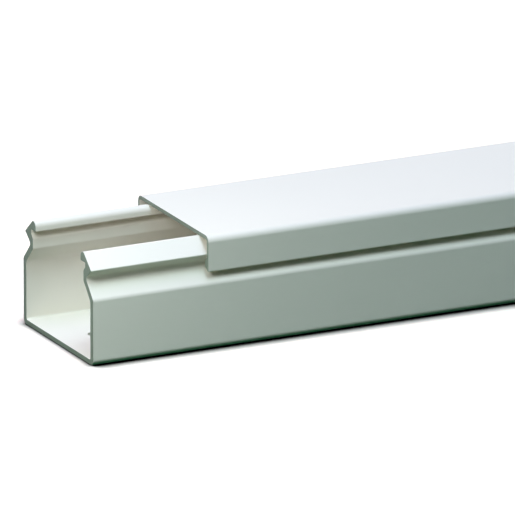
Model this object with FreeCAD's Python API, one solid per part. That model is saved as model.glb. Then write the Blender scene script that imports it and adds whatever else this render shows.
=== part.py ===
import FreeCAD, Part
import math
import os

# Cord cover raceway: a channel-shaped base and a lid that clips over it, both extruded.
# Frame: millimetres, +X along the length, +Y across, +Z up, away from the wall it is screwed to.
# Origin: middle of the base's flat underside.
# Insets are measured in from the base's outer wall face, and angles up from level.

# Overall sizes
base_length = 2000.0
base_width = 57.0
overall_height = 41.5

# Base: floor and walls
floor_thickness = 1.8
wall_thickness = 2.4
foot_radius = 2.2
floor_corner_radius = 0.8
shoulder_angle = 48.0
shoulder_radius = 2.0

# Base: neck and barbed lip
neck_inset = 6.0
neck_thickness = 1.9
neck_radius = 1.3
lip_tip_inset = 1.5
lip_tip_drop = 5.35
lip_tip_radius = 0.4
lip_underside_angle = 39.0
lip_top_width = 2.6
lip_inner_depth = 3.5
lip_inner_overhang = 2.3
lip_edge_radius = 0.6
lip_inner_edge_radius = 2.0
lip_foot_radius = 0.3
undercut_depth = 1.4
undercut_height = 1.6
undercut_foot_angle = 48.0

# Cover
cover_length = 2000.0
cover_set_back = 45.0
cover_thickness = 1.5
cover_edge_radius = 2.5
cover_inner_radius = 0.8
skirt_thickness = 1.3
hook_reach = 1.1
hook_nose_height = 2.8
hook_lead_angle = 30.0
hook_edge_radius = 0.4

# Running gaps between cover and base
cover_lip_clearance = 0.15
skirt_lip_clearance = 0.2
hook_lip_clearance = 1.1

# Fixing holes along the middle of the floor
hole_diameter = 6.0
hole_count = 10
hole_end_distance = 14.8

# Heights and insets that both sections use
lip_height = overall_height - cover_thickness - cover_lip_clearance
lip_tip_height = lip_height - lip_tip_drop
lip_underside_slope = math.tan(math.radians(lip_underside_angle))


def rounded_outline(corners):
    """Closed face from (inset, height, radius) corners, each rounded by a tangent arc."""
    count = len(corners)
    places = [FreeCAD.Vector(0, inset - base_width / 2, height) for inset, height, radius in corners]
    cuts = []
    for i, (inset, height, radius) in enumerate(corners):
        here = places[i]
        back = (places[i - 1] - here).normalize()
        ahead = (places[(i + 1) % count] - here).normalize()
        half_angle = back.getAngle(ahead) / 2
        reach = radius / math.tan(half_angle)
        inward = (back + ahead).normalize()
        middle = here + inward * (radius / math.sin(half_angle) - radius)
        cuts.append((here + back * reach, middle, here + ahead * reach))
    edges = []
    for i, (start, middle, end) in enumerate(cuts):
        next_start = cuts[(i + 1) % count][0]
        edges.append(Part.Arc(start, middle, end).toShape())
        edges.append(Part.LineSegment(end, next_start).toShape())
    return Part.Face(Part.Wire(edges))


def both_sides(corners):
    """One side's corners, then the same corners on the +Y side in reverse order."""
    far_side = [(base_width - inset, height, radius) for inset, height, radius in reversed(corners)]
    return corners + far_side


def extruded(section, start, length):
    """Solid of a section from X = start."""
    return section.translated(FreeCAD.Vector(start, 0, 0)).extrude(FreeCAD.Vector(length, 0, 0))


def base_section():
    shoulder_slope = math.tan(math.radians(shoulder_angle))
    neck_height = lip_tip_height - (neck_inset - lip_tip_inset) * lip_underside_slope
    shoulder_height = neck_height - neck_inset * shoulder_slope
    # inside the shoulder, the wall keeps its thickness square to the slope
    inner_fold_drop = wall_thickness * math.tan(math.radians(90 - shoulder_angle) / 2)
    inner_fold_height = shoulder_height - inner_fold_drop
    inner_neck_inset = neck_inset + neck_thickness
    inner_neck_height = inner_fold_height + (inner_neck_inset - wall_thickness) * shoulder_slope
    lip_inner_inset = inner_neck_inset + lip_inner_overhang
    lip_foot_height = lip_height - lip_inner_depth
    # the wall is undercut below the overhang of the lip, and slopes back in to the neck
    undercut_inset = inner_neck_inset - undercut_depth
    undercut_foot_height = lip_foot_height - undercut_height
    undercut_foot_drop = undercut_depth * math.tan(math.radians(undercut_foot_angle))
    wall = [
        (0, 0, foot_radius),
        (0, shoulder_height, shoulder_radius),
        (neck_inset, neck_height, neck_radius),
        (lip_tip_inset, lip_tip_height, lip_tip_radius),
        (lip_inner_inset - lip_top_width, lip_height, lip_edge_radius),
        (lip_inner_inset, lip_height, lip_inner_edge_radius),
        (lip_inner_inset, lip_foot_height, lip_foot_radius),
        (undercut_inset, lip_foot_height, lip_foot_radius),
        (undercut_inset, undercut_foot_height, lip_foot_radius),
        (inner_neck_inset, undercut_foot_height - undercut_foot_drop, neck_radius),
        (inner_neck_inset, inner_neck_height, neck_radius),
        (wall_thickness, inner_fold_height, shoulder_radius),
        (wall_thickness, floor_thickness, floor_corner_radius),
    ]
    return rounded_outline(both_sides(wall))


def fixing_holes():
    """Punched holes, evenly spaced between the two end ones."""
    first = hole_end_distance - base_length / 2
    pitch = (base_length - 2 * hole_end_distance) / (hole_count - 1)
    up = FreeCAD.Vector(0, 0, 1)
    punches = []
    for i in range(hole_count):
        foot = FreeCAD.Vector(first + i * pitch, 0, 0)
        punches.append(Part.makeCylinder(hole_diameter / 2, floor_thickness, foot, up))
    return punches


def base_channel():
    profile = extruded(base_section(), -base_length / 2, base_length)
    return profile.cut(fixing_holes())


def cover_section():
    skirt_inner_inset = lip_tip_inset - skirt_lip_clearance
    skirt_outer_inset = skirt_inner_inset - skirt_thickness
    nose_inset = lip_tip_inset + hook_reach
    # the hook's top runs parallel to the underside of the lip that it catches
    nose_top = lip_tip_height - hook_reach * lip_underside_slope - hook_lip_clearance
    hook_top = nose_top + (nose_inset - skirt_inner_inset) * lip_underside_slope
    nose_foot = nose_top - hook_nose_height
    lead_rise = (nose_inset - skirt_outer_inset) * math.tan(math.radians(hook_lead_angle))
    side = [
        (skirt_outer_inset, overall_height, cover_edge_radius),
        (skirt_outer_inset, nose_foot - lead_rise, hook_edge_radius),
        (nose_inset, nose_foot, hook_edge_radius),
        (nose_inset, nose_top, hook_edge_radius),
        (skirt_inner_inset, hook_top, hook_edge_radius),
        (skirt_inner_inset, overall_height - cover_thickness, cover_inner_radius),
    ]
    return rounded_outline(both_sides(side))


def cover():
    return extruded(cover_section(), cover_set_back - base_length / 2, cover_length)


os.makedirs("parts", exist_ok=True)
base_channel().exportStep("parts/base_channel.step")
cover().exportStep("parts/cover.step")
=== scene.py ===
import math

import bmesh
import bpy
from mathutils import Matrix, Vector


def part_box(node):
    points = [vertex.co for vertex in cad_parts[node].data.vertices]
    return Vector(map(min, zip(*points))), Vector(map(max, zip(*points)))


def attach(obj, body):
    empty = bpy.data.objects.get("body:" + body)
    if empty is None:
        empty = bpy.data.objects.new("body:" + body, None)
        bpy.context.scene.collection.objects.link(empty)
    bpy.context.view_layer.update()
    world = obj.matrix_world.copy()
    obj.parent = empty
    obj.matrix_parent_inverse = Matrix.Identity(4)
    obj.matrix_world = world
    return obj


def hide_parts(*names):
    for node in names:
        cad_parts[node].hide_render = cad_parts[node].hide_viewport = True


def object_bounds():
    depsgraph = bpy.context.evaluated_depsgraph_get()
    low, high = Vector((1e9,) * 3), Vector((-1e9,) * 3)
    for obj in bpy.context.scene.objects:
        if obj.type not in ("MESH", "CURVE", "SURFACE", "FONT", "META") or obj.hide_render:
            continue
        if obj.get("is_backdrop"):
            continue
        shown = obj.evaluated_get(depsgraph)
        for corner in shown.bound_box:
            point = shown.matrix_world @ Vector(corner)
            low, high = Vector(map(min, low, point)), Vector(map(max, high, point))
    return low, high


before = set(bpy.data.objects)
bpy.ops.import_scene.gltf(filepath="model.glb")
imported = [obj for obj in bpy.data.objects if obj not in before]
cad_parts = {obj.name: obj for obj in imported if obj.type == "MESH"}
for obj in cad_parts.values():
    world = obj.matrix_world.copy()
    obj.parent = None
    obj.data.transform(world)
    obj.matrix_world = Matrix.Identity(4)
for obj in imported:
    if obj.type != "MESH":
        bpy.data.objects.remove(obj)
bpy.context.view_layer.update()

# Sizes of the profiles, in millimetres.
MM = 0.001

# Half of each cross-section as (inset from the channel's outer wall face, height, corner radius).
# Each runs from the middle of the section round one wall and back to the middle.
HALF_WIDTH = 28.5
CHANNEL_SECTION = [
    (28.5, 1.8, 0),
    (2.4, 1.8, 0.8),
    (2.4, 23.271, 2.0),
    (7.9, 29.379, 1.3),
    (7.9, 33.195, 1.3),
    (6.5, 34.75, 0.3),
    (6.5, 36.35, 0.3),
    (10.2, 36.35, 0.3),
    (10.2, 39.85, 2.0),
    (7.6, 39.85, 0.6),
    (1.5, 34.5, 0.4),
    (6.0, 30.856, 1.3),
    (0, 24.192, 2.0),
    (0, 0, 2.2),
    (28.5, 0, 0),
]
LID_SECTION = [
    (28.5, 41.5, 0),
    (0, 41.5, 2.5),
    (0, 28.208, 0.4),
    (2.6, 29.709, 0.4),
    (2.6, 32.509, 0.4),
    (1.3, 33.562, 0.4),
    (1.3, 40.0, 0.8),
    (28.5, 40.0, 0),
]
SAWN_EDGE = 0.12
HOLE_RADIUS = 3.0
HOLE_COUNT = 10
HOLE_END_DISTANCE = 14.8
PUNCH_LENGTH = 6
PUNCH_MIDDLE_HEIGHT = 1

# How finely round shapes are drawn.
ROUND_STEPS = 8
SAWN_EDGE_STEPS = 2
ROUND_PROFILE = 0.5
PUNCH_SIDES = 48
SMOOTH_ANGLE = math.radians(32)
LARGE_FACES_FIRST = 100

# How near a point has to be, in metres, to belong to a corner, to be welded to its mirror image
# and to lie on a cut end. A face whose normal is this much along X is a cut end.
AT_CORNER = 1e-6
AT_MIRROR = 1e-5
AT_CUT = 1e-4
FACES_ALONG_X = 0.9

# Rigid PVC, with lengths in metres. A scale is in repeats per metre, and a wave texture at
# scale 1 repeats every tenth of pi.
PVC_COLOUR = "F0EADC"
PVC_ROUGHNESS = (0.34, 0.42)
PVC_IOR = 1.53
# Die lines about 1.2 mm apart across the section, stretched out along X.
DIE_SCALE = (1.5, 830, 830)
DIE_STRENGTH = 0.06
DIE_DEPTH = 0.0004
# Slow unevenness where the profile cooled, some 40 mm across.
COOLED_SCALE = 25.0
COOLED_STRENGTH = 0.15
COOLED_DEPTH = 0.001
NOISE_RANGE = (0.3, 0.7)
# Cut ends: duller, with close tooth marks. Their darker grey-green colour is partly the rough sawn
# surface and partly painted shade, for the little light that falls on the ends.
SAWN_AND_SHADED_COLOUR = "8F9A8A"
SAWN_ROUGHNESS = 0.7
TOOTH_SPACING = 0.0006
TOOTH_UNEVENNESS = 3.0
TOOTH_STRENGTH = 0.4
TOOTH_DEPTH = 0.0001
WAVE_SPACING = math.pi / 10

# The photo's camera: a very long lens, far off, level with the horizon. The sensor and the lens
# are in millimetres, the rest in metres.
CAMERA_PLACE = (-3.89076, -6.06414, 2.14009)
DEGREES_DOWN = 17.422
DEGREES_RIGHT = 26.086
SENSOR_WIDTH = 36
LENS_LENGTH = 1398
NEAREST_SEEN = 0.1
FARTHEST_SEEN = 60

# The floor. FLOOR_SEEN is above 1, because the paper gets less than full light and is pure white
# in the photo. Within CONTACT_WIDTH of the profile its colour is darkened, a painted contact
# shadow where less of the sky is open.
FLOOR_SIZE = 60
FLOOR_DROP = 0.0001
FLOOR_BOUNCE = (0.02, 0.09, 0.04, 1)
FLOOR_SEEN = (1.31, 1.17, 1.01)
CONTACT_WIDTH = 0.007
SKY_OPEN_AT_FOOT = 0.5

# The light. Each soft box is (direction it shines from, how tight it is, colour and strength).
BACKGROUND = (1, 1, 1, 1)
SOFT_BOXES = [
    ((0.0, 0.0, 1.0), 24.0, (3.7, 3.3, 5.7)),
    ((0.0, -0.36, 0.93), 40.0, (8.6, 11.9, 12.8)),
    ((-0.71, 0.0, 0.71), 8.0, (0.25, 0.25, 0.25)),
    ((0.0, 0.71, 0.71), 8.0, (0.8, 0.8, 0.8)),
    ((0.71, 0.0, 0.71), 8.0, (0.25, 0.25, 0.25)),
]
LAMP_PLACE = (-1.10, -0.10, 0.16)
LAMP_AIM = (-0.98, -0.03, 0.015)
LAMP_SIZE = 0.08
LAMP_WATTS = 0.215
LAMP_COLOUR = (0.9, 0.97, 0.99)

# The Mix node has sockets for each kind of value; these are its colour inputs and output.
MIX_WITHOUT, MIX_WITH, MIX_RESULT = 6, 7, 2


def photo_camera():
    """Looks along the length and down on it from the near left end."""
    lens = bpy.data.cameras.new("photo_camera")
    lens.sensor_width = SENSOR_WIDTH
    lens.lens = LENS_LENGTH
    lens.clip_start = NEAREST_SEEN
    lens.clip_end = FARTHEST_SEEN
    camera = bpy.data.objects.new("photo_camera", lens)
    camera.location = CAMERA_PLACE
    camera.rotation_euler = (math.radians(90 - DEGREES_DOWN), 0, math.radians(-DEGREES_RIGHT))
    bpy.context.scene.collection.objects.link(camera)
    bpy.context.scene.camera = camera


def activate(piece):
    """Makes a piece the only selected one."""
    bpy.ops.object.select_all(action="DESELECT")
    piece.select_set(True)
    bpy.context.view_layer.objects.active = piece


def edit(piece):
    """Opens a piece in edit mode with nothing selected."""
    activate(piece)
    bpy.ops.object.mode_set(mode="EDIT")
    bpy.ops.mesh.select_mode(type="VERT")
    bpy.ops.mesh.select_all(action="DESELECT")


def shift(piece, step):
    """Moves the whole mesh and leaves the piece's origin where it is."""
    edit(piece)
    bpy.ops.mesh.select_all(action="SELECT")
    bpy.ops.transform.translate(value=step)
    bpy.ops.object.mode_set(mode="OBJECT")


def pick_edges(piece, wanted):
    """In edit mode, selects the edges for which wanted() is true."""
    bpy.ops.mesh.select_mode(type="EDGE")
    bpy.ops.mesh.select_all(action="DESELECT")
    mesh = bmesh.from_edit_mesh(piece.data)
    for edge in mesh.edges:
        if wanted(edge):
            edge.select_set(True)
    bmesh.update_edit_mesh(piece.data)


def round_edges(reach, steps):
    """In edit mode, rounds the selected edges, starting the given distance from each."""
    bpy.ops.mesh.bevel(offset=reach, segments=steps, profile=ROUND_PROFILE, affect="EDGES")


def apply_modifier(piece, kind, **settings):
    """Adds a modifier with these settings and applies it."""
    activate(piece)
    modifier = piece.modifiers.new(kind.lower(), kind)
    for name, value in settings.items():
        setattr(modifier, name, value)
    bpy.ops.object.modifier_apply(modifier=modifier.name)


def place(corner):
    """Y and Z, in metres, of a corner of a section."""
    inset, height = corner[:2]
    return (inset - HALF_WIDTH) * MM, height * MM


def rounding_reach(section, i):
    """How far from a corner its rounding starts, in metres."""
    inset, height, radius = section[i]
    before = (section[i - 1][0] - inset, section[i - 1][1] - height)
    after = (section[i + 1][0] - inset, section[i + 1][1] - height)
    dot = before[0] * after[0] + before[1] * after[1]
    turn = math.acos(dot / math.hypot(*before) / math.hypot(*after))
    return radius / math.tan(turn / 2) * MM


def extruded_profile(name, section, start, length):
    """Draws half a section corner by corner, draws it out along X, rounds and mirrors it."""
    # a tiny plane, merged to a point, is the first corner
    bpy.ops.mesh.primitive_plane_add(size=MM)
    piece = bpy.context.active_object
    piece.name = piece.data.name = name
    edit(piece)
    bpy.ops.mesh.select_all(action="SELECT")
    bpy.ops.mesh.merge(type="CENTER")
    y, z = place(section[0])
    bpy.ops.transform.translate(value=(start, y, z))
    for corner in section[1:]:
        next_y, next_z = place(corner)
        step = (0, next_y - y, next_z - z)
        bpy.ops.mesh.extrude_region_move(TRANSFORM_OT_translate={"value": step})
        y, z = next_y, next_z
    bpy.ops.mesh.select_all(action="SELECT")
    bpy.ops.mesh.extrude_region_move(TRANSFORM_OT_translate={"value": (length, 0, 0)})
    for i in range(1, len(section) - 1):
        y, z = place(section[i])
        pick_edges(
            piece,
            lambda e: all(math.hypot(v.co.y - y, v.co.z - z) < AT_CORNER for v in e.verts),
        )
        round_edges(rounding_reach(section, i), ROUND_STEPS)
    bpy.ops.object.mode_set(mode="OBJECT")
    apply_modifier(piece, "MIRROR", use_axis=(False, True, False), merge_threshold=AT_MIRROR)
    edit(piece)
    for x in (start, start + length):
        pick_edges(
            piece,
            lambda e: e.is_boundary and all(abs(v.co.x - x) < AT_CUT for v in e.verts),
        )
        bpy.ops.mesh.edge_face_add()
    bpy.ops.mesh.select_all(action="SELECT")
    bpy.ops.mesh.normals_make_consistent(inside=False)
    # the saw leaves the rim of each cut very slightly broken
    pick_edges(piece, lambda e: any(abs(f.normal.x) > FACES_ALONG_X for f in e.link_faces))
    round_edges(SAWN_EDGE * MM, SAWN_EDGE_STEPS)
    bpy.ops.object.mode_set(mode="OBJECT")
    return piece


def punch_fixing_holes(channel, start, length):
    """One round punch, copied along the floor and cut out of it."""
    first = start + HOLE_END_DISTANCE * MM
    pitch = (length - 2 * HOLE_END_DISTANCE * MM) / (HOLE_COUNT - 1)
    bpy.ops.mesh.primitive_cylinder_add(
        vertices=PUNCH_SIDES, radius=HOLE_RADIUS * MM, depth=PUNCH_LENGTH * MM
    )
    punch = bpy.context.active_object
    shift(punch, (first, 0, PUNCH_MIDDLE_HEIGHT * MM))
    apply_modifier(
        punch,
        "ARRAY",
        count=HOLE_COUNT,
        use_relative_offset=False,
        use_constant_offset=True,
        constant_offset_displace=(pitch, 0, 0),
    )
    apply_modifier(channel, "BOOLEAN", operation="DIFFERENCE", solver="EXACT", object=punch)
    bpy.data.objects.remove(punch)


def finish_surface(piece, body, node, materials):
    """Smooth roundings, flat faces, cut ends in the second material; ties the piece to its node."""
    for material in materials:
        piece.data.materials.append(material)
    for face in piece.data.polygons:
        face.material_index = 1 if abs(face.normal.x) > FACES_ALONG_X else 0
    activate(piece)
    bpy.ops.object.shade_smooth_by_angle(angle=SMOOTH_ANGLE)
    apply_modifier(piece, "WEIGHTED_NORMAL", keep_sharp=True, weight=LARGE_FACES_FIRST)
    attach(piece, body)
    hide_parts(node)


def linear(hex_colour):
    """sRGB hex to linear RGBA."""
    parts = [int(hex_colour[i:i + 2], 16) / 255 for i in (0, 2, 4)]
    return [c / 12.92 if c <= 0.04045 else ((c + 0.055) / 1.055) ** 2.4 for c in parts] + [1]


def add(tree, kind, links=(), **settings):
    """Adds a node; settings are its own properties, links are (input, value or output socket)."""
    made = tree.nodes.new(kind)
    for name, value in settings.items():
        setattr(made, name, value)
    for where, value in links:
        if isinstance(value, bpy.types.NodeSocket):
            tree.links.new(value, made.inputs[where])
        else:
            made.inputs[where].default_value = value
    return made


def calculate(tree, operation, one, other):
    """The result of a Math node."""
    links = [(0, one), (1, other)]
    return add(tree, "ShaderNodeMath", links, operation=operation).outputs[0]


def bump(tree, height, strength, depth, normal=None):
    """The normal of a Bump node, on top of another normal where one is given."""
    links = [("Height", height), ("Strength", strength), ("Distance", depth)]
    if normal is not None:
        links.append(("Normal", normal))
    return add(tree, "ShaderNodeBump", links).outputs[0]


def new_material(name):
    """An empty material and its node tree."""
    material = bpy.data.materials.new(name)
    material.use_nodes = True
    tree = material.node_tree
    tree.nodes.clear()
    return material, tree


def show_pvc(tree, hex_colour, roughness, normal):
    """Rigid PVC as the surface of a material."""
    links = [
        ("Base Color", linear(hex_colour)),
        ("Roughness", roughness),
        ("IOR", PVC_IOR),
        ("Normal", normal),
    ]
    pvc = add(tree, "ShaderNodeBsdfPrincipled", links)
    add(tree, "ShaderNodeOutputMaterial", [("Surface", pvc.outputs[0])])


def extruded_pvc(name):
    """Opaque white and half-gloss, with faint die lines that run the whole length."""
    material, tree = new_material(name)
    where = add(tree, "ShaderNodeTexCoord").outputs["Object"]
    lines = add(tree, "ShaderNodeMapping", [("Vector", where), ("Scale", DIE_SCALE)])
    die = add(
        tree,
        "ShaderNodeTexNoise",
        [("Vector", lines.outputs[0]), ("Scale", 1.0), ("Detail", 2.0)],
    )
    cooled = add(
        tree,
        "ShaderNodeTexNoise",
        [("Vector", where), ("Scale", COOLED_SCALE), ("Detail", 1.0)],
    )
    roughness = add(
        tree,
        "ShaderNodeMapRange",
        [
            ("Value", cooled.outputs["Fac"]),
            ("From Min", NOISE_RANGE[0]),
            ("From Max", NOISE_RANGE[1]),
            ("To Min", PVC_ROUGHNESS[0]),
            ("To Max", PVC_ROUGHNESS[1]),
        ],
    )
    fine = bump(tree, die.outputs["Fac"], DIE_STRENGTH, DIE_DEPTH)
    uneven = bump(tree, cooled.outputs["Fac"], COOLED_STRENGTH, COOLED_DEPTH, fine)
    show_pvc(tree, PVC_COLOUR, roughness.outputs[0], uneven)
    return material


def sawn_and_shaded_pvc(name):
    """PVC cut by a fine saw, with upright tooth marks; its darker colour is partly painted shade.
    """
    material, tree = new_material(name)
    where = add(tree, "ShaderNodeTexCoord").outputs["Object"]
    marks = add(
        tree,
        "ShaderNodeTexWave",
        [
            ("Vector", where),
            ("Scale", WAVE_SPACING / TOOTH_SPACING),
            ("Distortion", TOOTH_UNEVENNESS),
            ("Detail", 2.0),
        ],
        wave_type="BANDS",
        bands_direction="Y",
    )
    rough = bump(tree, marks.outputs["Fac"], TOOTH_STRENGTH, TOOTH_DEPTH)
    show_pvc(tree, SAWN_AND_SHADED_COLOUR, SAWN_ROUGHNESS, rough)
    return material


def by_ray(tree, seen, cast):
    """One colour where it is seen, and another for the light that it casts on the profile.

    A thing is seen by rays from the camera, from a gloss or through a clear surface.
    """
    path = add(tree, "ShaderNodeLightPath").outputs
    camera_or_gloss = calculate(tree, "MAXIMUM", path["Is Camera Ray"], path["Is Glossy Ray"])
    is_seen = calculate(tree, "MAXIMUM", camera_or_gloss, path["Is Transmission Ray"])
    links = [("Factor", is_seen), (MIX_WITHOUT, cast), (MIX_WITH, seen)]
    return add(tree, "ShaderNodeMix", links, data_type="RGBA").outputs[MIX_RESULT]


def studio_floor():
    """White paper to the camera, with a painted contact shadow; dark to the light it throws back.
    """
    bpy.ops.mesh.primitive_plane_add(size=FLOOR_SIZE)
    floor = bpy.context.active_object
    floor.name = "studio_floor"
    shift(floor, (0, 0, -FLOOR_DROP))
    material, tree = new_material("studio_paper")
    # painted contact shadow: the paper's colour darkens where the profile stands on it
    open_sky = add(tree, "ShaderNodeAmbientOcclusion", [("Distance", CONTACT_WIDTH)])
    painted_contact_shadow = add(
        tree,
        "ShaderNodeMapRange",
        [("Value", open_sky.outputs["AO"]), ("From Min", SKY_OPEN_AT_FOOT), ("From Max", 1.0)],
    )
    seen = add(
        tree,
        "ShaderNodeVectorMath",
        [(0, FLOOR_SEEN), ("Scale", painted_contact_shadow.outputs[0])],
        operation="SCALE",
    )
    colour = by_ray(tree, seen.outputs[0], FLOOR_BOUNCE)
    paper = add(tree, "ShaderNodeBsdfDiffuse", [("Color", colour)])
    add(tree, "ShaderNodeOutputMaterial", [("Surface", paper.outputs[0])])
    floor.data.materials.append(material)
    floor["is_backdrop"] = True


def soft_boxes():
    """Two soft boxes overhead and three weak fills, with plain white behind everything."""
    world = bpy.data.worlds.new("studio")
    bpy.context.scene.world = world
    world.use_nodes = True
    tree = world.node_tree
    tree.nodes.clear()
    direction = add(tree, "ShaderNodeTexCoord").outputs["Generated"]
    light = (0.0, 0.0, 0.0)
    for towards, tightness, colour in SOFT_BOXES:
        facing = add(
            tree,
            "ShaderNodeVectorMath",
            [(0, direction), (1, towards)],
            operation="DOT_PRODUCT",
        )
        front = calculate(tree, "MAXIMUM", facing.outputs["Value"], 0.0)
        glow = calculate(tree, "POWER", front, tightness)
        total = add(
            tree,
            "ShaderNodeVectorMath",
            [(0, glow), (1, colour), (2, light)],
            operation="MULTIPLY_ADD",
        )
        light = total.outputs[0]
    shown = by_ray(tree, BACKGROUND, light)
    sky = add(tree, "ShaderNodeBackground", [("Color", shown), ("Strength", 1.0)])
    add(tree, "ShaderNodeOutputWorld", [("Surface", sky.outputs[0])])


def front_lamp():
    """One small soft lamp in front of the cut end."""
    bpy.ops.object.light_add(type="AREA", location=LAMP_PLACE)
    lamp = bpy.context.active_object
    lamp.name = "front_soft_lamp"
    lamp.data.shape = "DISK"
    lamp.data.size = LAMP_SIZE
    lamp.data.energy = LAMP_WATTS
    lamp.data.color = LAMP_COLOUR
    aim = Vector(LAMP_AIM) - Vector(LAMP_PLACE)
    lamp.rotation_euler = aim.to_track_quat("-Z", "Y").to_euler()
    lamp.visible_camera = False
    lamp.visible_glossy = False
    lamp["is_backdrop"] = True


bpy.context.scene.view_settings.view_transform = "Standard"
photo_camera()
studio_floor()
soft_boxes()
front_lamp()

materials = [extruded_pvc("extruded_rigid_pvc"), sawn_and_shaded_pvc("sawn_shaded_rigid_pvc")]

low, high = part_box("base_channel")
channel = extruded_profile("channel_profile", CHANNEL_SECTION, low.x, high.x - low.x)
punch_fixing_holes(channel, low.x, high.x - low.x)
finish_surface(channel, "base", "base_channel", materials)

low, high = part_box("cover")
lid = extruded_profile("lid_profile", LID_SECTION, low.x, high.x - low.x)
finish_surface(lid, "lid", "cover", materials)

low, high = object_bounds()
